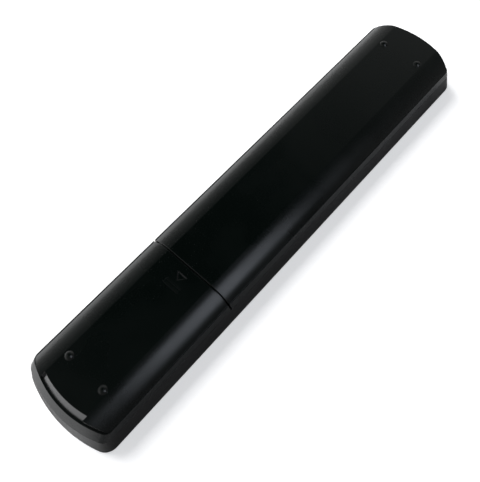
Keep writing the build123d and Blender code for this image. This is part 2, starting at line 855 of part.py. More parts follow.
# Infrared lamp, lying at the far edge of the board with its two leads on the board's back
with BuildPart() as infrared_lamp:
    with BuildSketch(facing(0, lamp_base_y, lamp_height, 1)):
        Circle(lamp_radius)
    extrude(amount=lamp_length)
    fillet(edges().group_by(Axis.Y)[-1], lamp_radius - fit_gap)
    with BuildSketch(facing(0, lamp_base_y, lamp_height, 1)):
        Circle(lamp_flange_radius)
    extrude(amount=lamp_flange_length)
    for x in (-lamp_lead_pitch / 2, lamp_lead_pitch / 2):
        half = lamp_lead_width / 2
        block(
            (x - half, board_far_y - lamp_lead_lap, board_back),
            (x + half, lamp_base_y, board_back + lamp_lead_width),
        )
save(infrared_lamp, "infrared_lamp")

# Indicator lamp, standing on the board's front and looking out through the plate
with BuildPart() as indicator_lamp:
    with BuildSketch(Plane.XY.offset(board_front)):
        with Locations((0, indicator_y)):
            Circle(indicator_radius)
    extrude(amount=rim_height + indicator_recess - board_front)
    fillet(edges().group_by(Axis.Z)[0], indicator_radius / 2)
    with BuildSketch(Plane.XY.offset(board_front)):
        with Locations((0, indicator_y)):
            Circle(indicator_flange_radius)
    extrude(amount=-indicator_flange_thickness)
save(indicator_lamp, "indicator_lamp")

# Batteries, side by side and the opposite way round
for label, side in (("left_battery", -1), ("right_battery", 1)):
    x = side * cell_spacing / 2
    from_plate = contact_thickness + contact_gap + spring_length
    negative_y = bay_far_y - from_plate if side < 0 else bay_near_y + from_plate
    with BuildPart() as battery:
        with BuildSketch(facing(x, negative_y, cell_height, side)):
            Circle(cell_diameter / 2)
        extrude(amount=cell_length - cell_nub_length)
        fillet(edges().filter_by(GeomType.CIRCLE), cell_end_round)
        with BuildSketch(facing(x, negative_y + side * (cell_length - cell_nub_length), cell_height, side)):
            Circle(cell_nub_diameter / 2)
        extrude(amount=cell_nub_length)
    save(battery, label)

# Contacts: two plates with strips to the board at the seam end, one that links the batteries at the other
for label, side in (("negative_contact", -1), ("positive_contact", 1)):
    x = side * cell_spacing / 2
    with BuildPart() as contact:
        half = contact_width / 2
        plate_y = bay_far_y - contact_thickness
        block((x - half, plate_y, board_back), (x + half, bay_far_y, board_back + contact_height))
        half = contact_strip_width / 2
        block(
            (x - half, plate_y, board_back),
            (x + half, board_near_y + contact_strip_lap, board_back + contact_thickness),
        )
    save(contact, label)

with BuildPart() as link_contact:
    half = (cell_spacing + contact_width) / 2
    plate_y = bay_near_y + contact_thickness
    block((-half, bay_near_y, board_back), (half, plate_y, board_back + contact_height))
save(link_contact, "link_contact")

with BuildPart() as contact_springs:
    for x, y, way in (
        (-cell_spacing / 2, bay_far_y - contact_thickness, -1),
        (cell_spacing / 2, bay_near_y + contact_thickness, 1),
    ):
        with BuildSketch(facing(x, y, cell_height, way)):
            Circle(spring_base_radius)
        with BuildSketch(facing(x, y + way * spring_length, cell_height, way)):
            Circle(spring_tip_radius)
        loft()
save(contact_springs, "contact_springs")

# Screws that hold the tray, and with it the back shell, to the front shell
with BuildPart() as case_screws:
    shank_bottom = plate_back + screw_tip_margin + fit_gap
    slot_reach = screw_head_radius * screw_slot_share
    for x in (-screw_half_spacing, screw_half_spacing):
        with BuildSketch(Plane((x, screw_y, shank_bottom))):
            Circle(screw_shank_radius)
        extrude(amount=ear_top - shank_bottom)
        with BuildSketch(Plane((x, screw_y, ear_top))):
            Circle(screw_head_radius)
        extrude(amount=screw_head_height)
        head_top = ear_top + screw_head_height
        half = screw_slot_width / 2
        for across, along in ((half, slot_reach), (slot_reach, half)):
            low = (x - across, screw_y - along, head_top - screw_slot_depth)
            block(low, (x + across, screw_y + along, head_top), Mode.SUBTRACT)
save(case_screws, "case_screws")
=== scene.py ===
# %% [markdown]
# A universal remote control, seen from its back
#
# The remote lies on its face, so what shows is its black back cover with the battery door. The exact
# solids come from the frame. This script dresses them: it sets up the camera, the floor and the light,
# gives every surface its finish, and adds the small pieces that a plain solid leaves out, such as the
# wound battery springs and the marks on the keys. All lengths are metres.

# %% Load the frame
import json
import math

import bpy
from mathutils import Matrix, Vector


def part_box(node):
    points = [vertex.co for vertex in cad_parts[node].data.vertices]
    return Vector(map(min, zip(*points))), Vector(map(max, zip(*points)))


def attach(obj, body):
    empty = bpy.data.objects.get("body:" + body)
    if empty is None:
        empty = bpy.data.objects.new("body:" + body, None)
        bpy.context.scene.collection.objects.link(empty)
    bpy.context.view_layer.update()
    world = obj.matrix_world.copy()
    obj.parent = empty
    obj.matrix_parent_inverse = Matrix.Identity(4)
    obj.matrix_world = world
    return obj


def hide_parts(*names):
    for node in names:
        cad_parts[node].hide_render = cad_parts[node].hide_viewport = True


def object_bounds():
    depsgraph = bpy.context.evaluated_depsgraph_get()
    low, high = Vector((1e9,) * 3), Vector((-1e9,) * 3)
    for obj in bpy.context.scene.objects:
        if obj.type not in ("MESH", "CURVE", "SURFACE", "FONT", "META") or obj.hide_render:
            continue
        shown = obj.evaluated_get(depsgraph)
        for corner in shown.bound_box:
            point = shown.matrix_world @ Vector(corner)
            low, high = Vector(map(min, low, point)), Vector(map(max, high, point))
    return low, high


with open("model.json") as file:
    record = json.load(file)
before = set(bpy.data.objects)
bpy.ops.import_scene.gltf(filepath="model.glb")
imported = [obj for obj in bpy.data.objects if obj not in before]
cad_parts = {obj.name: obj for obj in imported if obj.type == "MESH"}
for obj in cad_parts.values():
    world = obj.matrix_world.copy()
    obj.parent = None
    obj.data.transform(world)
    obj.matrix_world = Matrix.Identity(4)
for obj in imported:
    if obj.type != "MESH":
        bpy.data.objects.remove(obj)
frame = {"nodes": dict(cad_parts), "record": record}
cad_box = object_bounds()
nodes = frame["nodes"]
millimetre = 0.001

# %% [markdown]
# What moves together, and what wears which finish
#
# The record says which solids move together as one body, and which finish each solid has. Both could be
# typed out here, node by node. Reading them from the record keeps this script right when a node is added.

# %% Find each node's body and finish
bodies = frame["record"]["behaviour"]["bodies"]
body_of = {node: body for body, members in bodies.items() for node in members}
nodes_in_slot = {}
for entry in frame["record"]["subparts"]:
    nodes_in_slot.setdefault(entry["material_slot"], []).append(entry["node"])
print("finishes:", sorted(nodes_in_slot))

# %% [markdown]
# The camera
#
# A camera could be placed by eye until the picture looks right. Here its place was worked out from the
# outline, the creases and the small nubs of the real thing, which fixes the view to a pixel or so. It is
# written the way a photographer would say it: which way the camera looks, how steeply, how far it stands
# from a point on the remote, and how much it leans.

# %% Place the camera
camera_azimuth = math.radians(46.53)
camera_elevation = math.radians(66.78)
camera_roll = math.radians(-4.83)
camera_distance = 224.7 * millimetre
camera_target = Vector((4.77, -18.94, 9.64)) * millimetre
focal_pixels = 531.65
image_width = 480
sensor_width = 36.0

ahead = Vector((
    -math.sin(camera_azimuth) * math.cos(camera_elevation),
    math.cos(camera_azimuth) * math.cos(camera_elevation),
    -math.sin(camera_elevation),
))
level_right = Vector((math.cos(camera_azimuth), math.sin(camera_azimuth), 0))
level_up = level_right.cross(ahead)
right = level_right * math.cos(camera_roll) + level_up * math.sin(camera_roll)
up = level_up * math.cos(camera_roll) - level_right * math.sin(camera_roll)
camera_turn = Matrix((right, up, -ahead)).transposed()

bpy.ops.object.camera_add(location=camera_target - ahead * camera_distance, rotation=camera_turn.to_euler())
camera = bpy.context.object
camera.name = "camera"
camera.data.sensor_fit = "HORIZONTAL"
camera.data.sensor_width = sensor_width
camera.data.lens = sensor_width * focal_pixels / image_width
camera.data.clip_start = millimetre
bpy.context.scene.camera = camera
print("camera at", [round(value, 4) for value in camera.location], "lens", round(camera.data.lens, 2))

# %% [markdown]
# Helpers for node trees
#
# A finish is a tree of nodes. They could be linked one by one in long lists, which are hard to read.
# These helpers make a node, set its inputs and give back its output in one line, so that a finish reads
# like a recipe.


# %% Add nodes
def add_node(tree, kind, inputs=(), **settings):
    """A node with its settings, and with some of its inputs set or linked by name or number."""
    node = tree.nodes.new(kind)
    for name, value in settings.items():
        setattr(node, name, value)
    for name, value in dict(inputs).items():
        if isinstance(value, bpy.types.NodeSocket):
            tree.links.new(value, node.inputs[name])
        else:
            node.inputs[name].default_value = value
    return node


def first(node):
    """The first output of a node that is in use."""
    return [socket for socket in node.outputs if socket.enabled][0]


def maths(tree, operation, *values):
    """The result of one sum on numbers or outputs."""
    return first(add_node(tree, "ShaderNodeMath", enumerate(values), operation=operation))


def fade(tree, value, start, end, low=0.0, high=1.0):
    """A value that turns smoothly from low to high while another goes from start to end."""
    inputs = {"Value": value, "From Min": start, "From Max": end, "To Min": low, "To Max": high}
    return first(add_node(tree, "ShaderNodeMapRange", inputs, interpolation_type="SMOOTHSTEP"))


print("nodes can be added")

# %% Blend colours and place patterns
noise_span = (0.3, 0.7)


def blend_colours(tree, share, under, over):
    """One colour laid over another by a share from 0 to 1."""
    inputs = {"Factor": share, "A": under, "B": over}
    mix = add_node(tree, "ShaderNodeMix", data_type="RGBA")
    for name, value in inputs.items():
        socket = [one for one in mix.inputs if one.enabled and one.name == name][0]
        if isinstance(value, bpy.types.NodeSocket):
            tree.links.new(value, socket)
        else:
            socket.default_value = value
    return first(mix)


def own_place(tree):
    """The place on the object itself, in metres, so that a pattern goes along with its piece."""
    return add_node(tree, "ShaderNodeTexCoord").outputs["Object"]


def noise(tree, size, detail=2.0, stretch=None):
    """Soft random spots of one size, from 0 to 1, with most of them inside the noise span."""
    where = own_place(tree)
    if stretch:
        where = first(add_node(tree, "ShaderNodeVectorMath", {0: where, 1: stretch}, operation="MULTIPLY"))
    scale = 1 / size if isinstance(size, float) else maths(tree, "DIVIDE", 1.0, size)
    return first(add_node(tree, "ShaderNodeTexNoise", {"Vector": where, "Scale": scale, "Detail": detail}))


print("most of a noise lies between", *noise_span)


# %% Start a material
def new_material(name):
    """A material with its node tree and its Principled shader."""
    material = bpy.data.materials.new(name)
    material.use_nodes = True
    tree = material.node_tree
    return material, tree, tree.nodes["Principled BSDF"]


def set_inputs(tree, shader, **values):
    """Sets or links the shader's own inputs, named with underscores for spaces."""
    for name, value in values.items():
        socket = shader.inputs[name.replace("_", " ")]
        if isinstance(value, bpy.types.NodeSocket):
            tree.links.new(value, socket)
        else:
            socket.default_value = value


print("materials can be made")

# %% [markdown]
# The surroundings
#
# Black plastic has hardly a colour of its own: it shows what it reflects. Its flat back faces the dark
# ceiling of the studio, so it is nearly black, and the slopes beside it catch the pale walls. A plain
# grey world would show none of that. So the surroundings here fade from pale walls on the left to dim
# ones on the right and to a dark ceiling. Only the camera, and what is seen through clear plastic, finds
# them white.

# %% Make the surroundings
bpy.context.scene.view_settings.view_transform = "Standard"
bright_level = 0.58
dim_level = 0.07
near_level = 0.14
ceiling_height = 0.88
dim_start, dim_end = -0.30, 0.25
near_start, near_end = 0.10, -0.45
far_level = 0.13
far_start, far_end = 0.38, 0.75
world = bpy.data.worlds.new("studio")
bpy.context.scene.world = world
world.use_nodes = True
tree = world.node_tree
tree.nodes.clear()
direction = first(add_node(tree, "ShaderNodeTexCoord"))
parts = add_node(tree, "ShaderNodeSeparateXYZ", {"Vector": direction})
wall = fade(tree, parts.outputs["X"], dim_start, dim_end, bright_level, dim_level)
low = maths(tree, "SUBTRACT", 1.0, maths(tree, "DIVIDE", parts.outputs["Z"], ceiling_height))
low = maths(tree, "MAXIMUM", low, 0.0)
near = fade(tree, parts.outputs["Y"], near_start, near_end, 0.0, near_level)
far = fade(tree, parts.outputs["Y"], far_start, far_end, 0.0, far_level)
shade = maths(tree, "ADD", maths(tree, "MULTIPLY", wall, low), maths(tree, "ADD", near, far))
path = add_node(tree, "ShaderNodeLightPath")
seen = maths(tree, "MAXIMUM", path.outputs["Is Camera Ray"], path.outputs["Is Transmission Ray"])
strength = maths(tree, "MAXIMUM", shade, seen)
background = add_node(tree, "ShaderNodeBackground", {"Color": (1, 1, 1, 1), "Strength": strength})
add_node(tree, "ShaderNodeOutputWorld", {"Surface": first(background)})
print("surroundings fade from", bright_level, "and", dim_level, "to a dark ceiling")

# %% [markdown]
# The floor
#
# The remote lies on white card. A white floor alone would come out grey here and there, so a little glow
# lifts it to white for the camera, all the way to the horizon, and the shadow stays. Its mirror image in
# the plastic is dimmer than the card. That mirror image has painted light and shade: a painted glow on the
# left and near side, and a painted shade, a darker colour, on the right, where the real skirt looks dark.

# %% Size and tones of the floor
floor_size = 3.0
floor_colour = (0.93, 0.93, 0.93, 1)
floor_roughness = 0.9
floor_glow = 0.45
glow_start, glow_end = 0.30, 0.80
# The next values set the painted glow and the painted shade that the plastic sees when it mirrors the floor.
painted_glow_side = 0.22
painted_glow_near = 0.31
painted_shade_dark, painted_shade_light = 0.30, 0.56
bright_start, bright_end = -60 * millimetre, 110 * millimetre
right_start, right_end = 30 * millimetre, 10 * millimetre
front_start, front_end = -95 * millimetre, -135 * millimetre
print("floor", floor_size, "m across")

# %% Lay the floor
bpy.ops.mesh.primitive_plane_add(size=floor_size, location=(0, 0, cad_box[0][2]))
floor = bpy.context.object
floor.name = "floor"
floor_material, tree, shader = new_material("floor_card")
path = add_node(tree, "ShaderNodeLightPath")
place = add_node(tree, "ShaderNodeSeparateXYZ", {"Vector": own_place(tree)})
left = fade(tree, place.outputs["X"], right_start, right_end)
painted_glow = fade(tree, place.outputs["Y"], front_start, front_end, painted_glow_side, painted_glow_near)
painted_glow = maths(tree, "MULTIPLY", left, painted_glow)
distance = add_node(tree, "ShaderNodeVectorMath", {0: own_place(tree)}, operation="LENGTH").outputs["Value"]
glow = fade(tree, distance, glow_start, glow_end, floor_glow, 1.0)
seen = maths(tree, "MAXIMUM", path.outputs["Is Camera Ray"], path.outputs["Is Transmission Ray"])
seen = maths(tree, "MULTIPLY", seen, glow)
# Painted glow: in reflections only, the floor glows on its left and near side.
mirrored = maths(tree, "MULTIPLY", path.outputs["Is Glossy Ray"], painted_glow)
# Painted shade: in reflections only, the floor turns darker on the right, where the remote's shadow falls.
painted_shade_mask = maths(tree, "MULTIPLY", path.outputs["Is Glossy Ray"], maths(tree, "SUBTRACT", 1.0, left))
painted_shade_tone = fade(tree, place.outputs["Y"], bright_start, bright_end, painted_shade_dark, painted_shade_light)
painted_shade_channels = {channel: painted_shade_tone for channel in ("Red", "Green", "Blue")}
painted_shade_colour = first(add_node(tree, "ShaderNodeCombineColor", painted_shade_channels))
set_inputs(
    tree,
    shader,
    Base_Color=blend_colours(tree, painted_shade_mask, floor_colour, painted_shade_colour),
    Roughness=floor_roughness,
    Specular_IOR_Level=0.0,
    Emission_Color=(1, 1, 1, 1),
    Emission_Strength=maths(tree, "ADD", seen, mirrored),
)
floor.data.materials.append(floor_material)
print("floor at", round(cad_box[0][2], 5))

# %% [markdown]
# The lamps
#
# One lamp would either light the case or draw its reflection, not both at their own strength. So there are
# two soft ones. The large one stands on the left and isn't mirrored. The other one is mirrored, and makes
# the long soft stripe on the right slope.


# %% Hang the lamps
def soft_lamp(name, azimuth, height_angle, distance, size, level, colour=(1, 1, 1), mirrored=False):
    """A soft rectangular lamp that looks at the remote. Its level is how bright its own surface is."""
    turn, rise = math.radians(azimuth), math.radians(height_angle)
    away = Vector((math.cos(turn) * math.cos(rise), math.sin(turn) * math.cos(rise), math.sin(rise)))
    facing = away.to_track_quat("Z", "Y").to_euler()
    bpy.ops.object.light_add(type="AREA", location=away * distance, rotation=facing)
    lamp = bpy.context.object
    lamp.name = name
    lamp.data.shape = "RECTANGLE"
    lamp.data.size, lamp.data.size_y = size
    lamp.data.energy = level * math.pi * size[0] * size[1]
    lamp.data.color = colour
    lamp.visible_glossy = mirrored


soft_lamp("lamp_left", azimuth=180, height_angle=48, distance=0.95, size=(0.5, 0.5), level=11.0)
soft_lamp(
    "lamp_right", azimuth=9.5, height_angle=51, distance=0.9, size=(0.36, 0.60), level=2.6,
    colour=(0.88, 0.94, 1.05), mirrored=True,
)

# %% [markdown]
# Effects that several finishes share
#
# Every moulded surface on the remote has the same three things on top of its colour: a fine grain from
# the mould, edges that are slightly round and rubbed, and the faint smears and dust of use. Each could be
# drawn anew in every material. Node groups make each effect once, and every finish then uses it with its
# own sizes. A group gives out only values and normals. The shader stays in the material.


# %% Start a node group
def new_group(name, inputs, outputs):
    """A shader node group with its input and output sockets. Returns its tree, inputs and outputs."""
    group = bpy.data.node_groups.new(name, "ShaderNodeTree")
    for title, value in inputs.items():
        socket = group.interface.new_socket(title, in_out="INPUT", socket_type="NodeSocketFloat")
        socket.default_value = value
    for title, kind in outputs.items():
        group.interface.new_socket(title, in_out="OUTPUT", socket_type=f"NodeSocket{kind}")
    return group, group.nodes.new("NodeGroupInput").outputs, group.nodes.new("NodeGroupOutput")


def use_group(tree, group, **values):
    """A copy of a group in a material, with its inputs set. Returns its outputs."""
    inputs = {name.replace("_", " "): value for name, value in values.items()}
    return add_node(tree, "ShaderNodeGroup", inputs, node_tree=group).outputs


print("groups can be made")

# %% [markdown]
# Moulded grain
#
# A mould is roughened by sparks, and leaves fine round pits all over the plastic. They could be a dotted
# pattern, but dots look printed. Two noises of different size, laid over each other, give pits that never
# repeat. The speckle picks out the highest of them.

# %% Moulded grain
fine_size_share = 0.37
coarse_share = 0.65
speckle_band = (0.52, 0.68)
moulded_grain, given, result = new_group(
    "moulded_grain",
    {"Grain Size": 0.3 * millimetre},
    {"Height": "Float", "Speckle": "Float"},
)
coarse = noise(moulded_grain, given["Grain Size"], detail=3.0)
fine = noise(moulded_grain, maths(moulded_grain, "MULTIPLY", given["Grain Size"], fine_size_share))
coarse = maths(moulded_grain, "MULTIPLY", coarse, coarse_share)
fine = maths(moulded_grain, "MULTIPLY", fine, 1 - coarse_share)
height = maths(moulded_grain, "ADD", coarse, fine)
speckle = fade(moulded_grain, height, *speckle_band)
moulded_grain.links.new(height, result.inputs["Height"])
moulded_grain.links.new(speckle, result.inputs["Speckle"])
print("moulded_grain:", len(moulded_grain.nodes), "nodes")

# %% [markdown]
# Rounded and rubbed edges
#
# A mould's edges are never sharp, and fingers rub them paler. Rounding every edge of the solids would
# change their shape. A rounded normal leaves it alone and still makes each edge catch a thin light, and the
# place where it turns away from the flat normal is where the rubbing shows.

# %% Rounded and rubbed edges
edge_samples = 6
flat_likeness, edge_likeness = 0.995, 0.86
rubbed_band = (0.42, 0.66)
rubbed_edges, given, result = new_group(
    "rubbed_edges",
    {"Radius": 0.2 * millimetre, "Patch Size": 6 * millimetre},
    {"Normal": "Vector", "Wear": "Float"},
)
rounded = first(add_node(rubbed_edges, "ShaderNodeBevel", {"Radius": given["Radius"]}, samples=edge_samples))
flat = add_node(rubbed_edges, "ShaderNodeNewGeometry").outputs["Normal"]
normals = {0: rounded, 1: flat}
likeness = add_node(rubbed_edges, "ShaderNodeVectorMath", normals, operation="DOT_PRODUCT").outputs["Value"]
turned = fade(rubbed_edges, likeness, flat_likeness, edge_likeness)
patches = noise(rubbed_edges, given["Patch Size"], detail=3.0)
patches = fade(rubbed_edges, patches, *rubbed_band)
rubbed_edges.links.new(rounded, result.inputs["Normal"])
rubbed_edges.links.new(maths(rubbed_edges, "MULTIPLY", turned, patches), result.inputs["Wear"])
print("rubbed_edges:", len(rubbed_edges.nodes), "nodes")

# %% [markdown]
# Smears, scratches and dust
#
# A remote slides about on tables and in hands. Its back gets broad greasy smears, fine scratches along its
# length and some dust. Each is a noise of its own size: broad for the smears, drawn out along the remote
# for the scratches, and fine for the dust. Scratches show only where the surface is smeared.

# %% Smears, scratches and dust
smear_band = (0.38, 0.68)
scratch_width = 0.5 * millimetre
scratch_stretch = (1.0, 0.035, 1.0)
scratch_band = (0.66, 0.72)
dust_size = 0.35 * millimetre
dust_band = (0.74, 0.80)
signs_of_use, given, result = new_group(
    "signs_of_use",
    {"Smear Size": 22 * millimetre},
    {"Smears": "Float", "Scratches": "Float", "Dust": "Float"},
)
smears = fade(signs_of_use, noise(signs_of_use, given["Smear Size"], detail=4.0), *smear_band)
scratches = noise(signs_of_use, scratch_width, detail=3.0, stretch=scratch_stretch)
scratches = fade(signs_of_use, scratches, *scratch_band)
scratches = maths(signs_of_use, "MULTIPLY", scratches, smears)
dust = fade(signs_of_use, noise(signs_of_use, dust_size, detail=1.0), *dust_band)
signs_of_use.links.new(smears, result.inputs["Smears"])
signs_of_use.links.new(scratches, result.inputs["Scratches"])
signs_of_use.links.new(dust, result.inputs["Dust"])
print("signs_of_use:", len(signs_of_use.nodes), "nodes")

# %% [markdown]
# Moulded plastics and rubbers
#
# The case, the keys and the membrane are all moulded, so one recipe serves them: the grain stands on the
# rounded edges, the smears make the surface a little rougher or smoother, and a trace of dust and wear
# lightens it. What changes from one to the next is colour, gloss and the size of the grain. Each has its
# own values below.


# %% The recipe for a moulded surface
def moulded(name, colour, worn, roughness, grain, depth, edge, specular=0.5, smear=0.06, dust=0.3, wear=0.5):
    """A moulded surface. Grain, depth and edge are lengths. Worn is the colour of rubbed edges and dust."""
    material, tree, shader = new_material(name)
    grains = use_group(tree, moulded_grain, Grain_Size=grain)
    edges = use_group(tree, rubbed_edges, Radius=edge)
    use = use_group(tree, signs_of_use)
    rubbed = maths(tree, "MULTIPLY", edges["Wear"], wear)
    dusty = maths(tree, "MULTIPLY", use["Dust"], dust)
    light = maths(tree, "MAXIMUM", rubbed, dusty)
    shift = maths(tree, "MULTIPLY", maths(tree, "SUBTRACT", use["Smears"], 0.5), 2 * smear)
    speckle = maths(tree, "MULTIPLY", grains["Speckle"], smear)
    rough = maths(tree, "ADD", maths(tree, "ADD", shift, roughness), speckle)
    bump = add_node(
        tree,
        "ShaderNodeBump",
        {"Strength": 1.0, "Distance": depth, "Height": grains["Height"], "Normal": edges["Normal"]},
    )
    set_inputs(
        tree,
        shader,
        Base_Color=blend_colours(tree, light, (*colour, 1), (*worn, 1)),
        Roughness=maths(tree, "ADD", rough, maths(tree, "MULTIPLY", use["Scratches"], smear)),
        Specular_IOR_Level=specular,
        Normal=first(bump),
    )
    return material


print("moulded surfaces can be made")

# %% Case, keys and membrane
satin, matt = 0.28, 0.52
moulded_finishes = {
    "back_plastic": moulded(
        "back_plastic_finish", colour=(0.0004, 0.0017, 0.0013), worn=(0.030, 0.032, 0.032), roughness=satin,
        grain=0.30 * millimetre, depth=0.004 * millimetre, edge=0.12 * millimetre, smear=0.03, dust=0.2,
    ),
    "front_plastic": moulded(
        "front_plastic_finish", colour=(0.0085, 0.0078, 0.0072), worn=(0.05, 0.048, 0.045), roughness=matt,
        grain=0.70 * millimetre, depth=0.060 * millimetre, edge=0.20 * millimetre, specular=0.42, dust=0.5,
    ),
    "face_plastic": moulded(
        "face_plastic_finish", colour=(0.0032, 0.0034, 0.0036), worn=(0.04, 0.04, 0.04), roughness=0.38,
        grain=0.22 * millimetre, depth=0.006 * millimetre, edge=0.10 * millimetre, smear=0.03,
    ),
    "key_rubber": moulded(
        "key_rubber_finish", colour=(0.016, 0.016, 0.017), worn=(0.06, 0.06, 0.06), roughness=0.58,
        grain=0.18 * millimetre, depth=0.006 * millimetre, edge=0.15 * millimetre, specular=0.35, dust=0.5,
    ),
    "membrane_rubber": moulded(
        "membrane_rubber_finish", colour=(0.16, 0.17, 0.18), worn=(0.30, 0.31, 0.32), roughness=0.6,
        grain=0.25 * millimetre, depth=0.008 * millimetre, edge=0.12 * millimetre, specular=0.35,
    ),
    "carbon_rubber": moulded(
        "carbon_rubber_finish", colour=(0.006, 0.006, 0.006), worn=(0.03, 0.03, 0.03), roughness=0.7,
        grain=0.12 * millimetre, depth=0.006 * millimetre, edge=0.05 * millimetre, specular=0.3,
    ),
    "chip_plastic": moulded(
        "chip_plastic_finish", colour=(0.009, 0.009, 0.010), worn=(0.05, 0.05, 0.05), roughness=0.5,
        grain=0.10 * millimetre, depth=0.005 * millimetre, edge=0.08 * millimetre,
    ),
    "resonator_ceramic": moulded(
        "resonator_ceramic_finish", colour=(0.50, 0.26, 0.03), worn=(0.62, 0.40, 0.12), roughness=0.35,
        grain=0.40 * millimetre, depth=0.010 * millimetre, edge=0.20 * millimetre,
    ),
}
print("moulded finishes:", len(moulded_finishes))

# %% [markdown]
# The four coloured keys
#
# The keys of the coloured row are harder plastic than the grey ones and a little glossier. Four finishes
# could be written out, but they differ in colour alone, so one loop makes them. Their rubbed edges are
# halfway between the key's own colour and white.

# %% Coloured keys
key_colours = {
    "red": (0.42, 0.010, 0.012),
    "green": (0.010, 0.20, 0.035),
    "yellow": (0.62, 0.36, 0.012),
    "blue": (0.010, 0.050, 0.34),
}
for name, colour in key_colours.items():
    worn = tuple((part + 1) / 2 for part in colour)
    moulded_finishes[f"{name}_key_plastic"] = moulded(
        f"{name}_key_finish", colour, worn, roughness=0.42,
        grain=0.18 * millimetre, depth=0.005 * millimetre, edge=0.15 * millimetre, wear=0.2, dust=0.15,
    )
print("with the coloured keys:", len(moulded_finishes))

# %% [markdown]
# Metals
#
# The contacts and the springs are nickel-plated steel, the screws are zinc-plated steel, and they are
# brushed by rolling and drawing. A mirror-like metal looks false at this size. So a stretched noise gives
# the fine lines, and another one dulls it in patches.

# %% The recipe for plated steel
dull_patch_size = 4 * millimetre
dull_patch_band = (0.40, 0.70)
dull_roughness, line_roughness = 0.16, 0.08
line_depth = 0.004 * millimetre
plate_edge = 0.06 * millimetre


def plated(name, colour, dull_colour, roughness, line_size, stretch):
    """Plated steel with fine lines along one way, and duller patches."""
    material, tree, shader = new_material(name)
    lines = noise(tree, line_size, detail=3.0, stretch=stretch)
    patches = fade(tree, noise(tree, dull_patch_size, detail=3.0), *dull_patch_band)
    edges = use_group(tree, rubbed_edges, Radius=plate_edge)
    bump = add_node(
        tree,
        "ShaderNodeBump",
        {"Strength": 0.6, "Distance": line_depth, "Height": lines, "Normal": edges["Normal"]},
    )
    rough = maths(tree, "ADD", maths(tree, "MULTIPLY", patches, dull_roughness), roughness)
    set_inputs(
        tree,
        shader,
        Base_Color=blend_colours(tree, patches, (*colour, 1), (*dull_colour, 1)),
        Metallic=1.0,
        Roughness=maths(tree, "ADD", rough, maths(tree, "MULTIPLY", lines, line_roughness)),
        Normal=first(bump),
    )
    return material


metal_finishes = {
    "contact_steel": plated(
        "contact_steel_finish", colour=(0.72, 0.70, 0.64), dull_colour=(0.52, 0.49, 0.43), roughness=0.20,
        line_size=0.08 * millimetre, stretch=(0.1, 1.0, 1.0),
    ),
    "screw_steel": plated(
        "screw_steel_finish", colour=(0.56, 0.57, 0.58), dull_colour=(0.40, 0.40, 0.40), roughness=0.26,
        line_size=0.10 * millimetre, stretch=(1.0, 1.0, 0.1),
    ),
}
print("metal finishes:", len(metal_finishes))

# %% [markdown]
# The circuit board
#
# A board is green because of the lacquer over its copper. The copper under it shows as slightly lighter
# lines, which run along and across the board. Real tracks would be hundreds of pieces that nobody sees
# inside the closed case, so a pattern does it: two sets of stripes, broken up by noise, with gold pads
# between them.

# %% Board lacquer with its tracks
track_pitch = 1.3 * millimetre
track_band = (0.25, 0.45)
break_size = 9 * millimetre
break_band = (0.50, 0.54)
break_stretch = 0.25
pad_pitch = 2.54 * millimetre
pad_band = (0.24, 0.20)
pad_cluster_size = 6 * millimetre
pad_cluster_band = (0.56, 0.60)
haze_size = 12 * millimetre
board_roughness = (0.22, 0.38)
copper_thickness = 0.03 * millimetre
lacquer_colour = (0.004, 0.060, 0.018, 1)
track_colour = (0.012, 0.135, 0.045, 1)
gold_colour = (0.80, 0.58, 0.22, 1)
board_finish, tree, shader = new_material("board_laminate_finish")
place = add_node(tree, "ShaderNodeSeparateXYZ", {"Vector": own_place(tree)})


def stripes(axis, across):
    """Tracks that run along one way and stop and start at random."""
    wave = maths(tree, "SINE", maths(tree, "MULTIPLY", place.outputs[axis], 2 * math.pi / track_pitch))
    broken = fade(tree, noise(tree, break_size, detail=0.0, stretch=across), *break_band)
    return maths(tree, "MULTIPLY", fade(tree, wave, *track_band), broken)


tracks_along = stripes("X", (1.0, break_stretch, 1.0))
tracks_across = stripes("Y", (break_stretch, 1.0, 1.0))
tracks = maths(tree, "MAXIMUM", tracks_along, tracks_across)
spots = add_node(
    tree,
    "ShaderNodeTexVoronoi",
    {"Vector": own_place(tree), "Scale": 1 / pad_pitch, "Randomness": 0.25},
)
pads = fade(tree, spots.outputs["Distance"], *pad_band)
chosen = fade(tree, noise(tree, pad_cluster_size, detail=0.0), *pad_cluster_band)
pads = maths(tree, "MULTIPLY", pads, chosen)
lacquer = blend_colours(tree, tracks, lacquer_colour, track_colour)
bump = add_node(
    tree,
    "ShaderNodeBump",
    {"Strength": 1.0, "Distance": copper_thickness, "Height": maths(tree, "MAXIMUM", tracks, pads)},
)
set_inputs(
    tree,
    shader,
    Base_Color=blend_colours(tree, pads, lacquer, gold_colour),
    Metallic=pads,
    Roughness=fade(tree, noise(tree, haze_size, detail=3.0), *noise_span, *board_roughness),
    Normal=first(bump),
)
print("board finish:", len(tree.nodes), "nodes")

# %% [markdown]
# Clear and coloured resins
#
# The window at the far end is dark red plastic that lets infrared light through and looks almost black.
# The lamp behind it is clear resin, and the indicator is red. Clear plastic could be a single glass
# shader, but moulded resin has flow marks and a slightly uneven surface, which keep it from looking like
# empty air.

# %% The recipe for resin
resin_ior = 1.53
flow_size = 2.5 * millimetre
flow_stretch = (1.0, 0.35, 1.0)
flow_depth = 0.02 * millimetre
resin_edge = 0.1 * millimetre
deep_share = 0.75
flow_roughness = 0.06


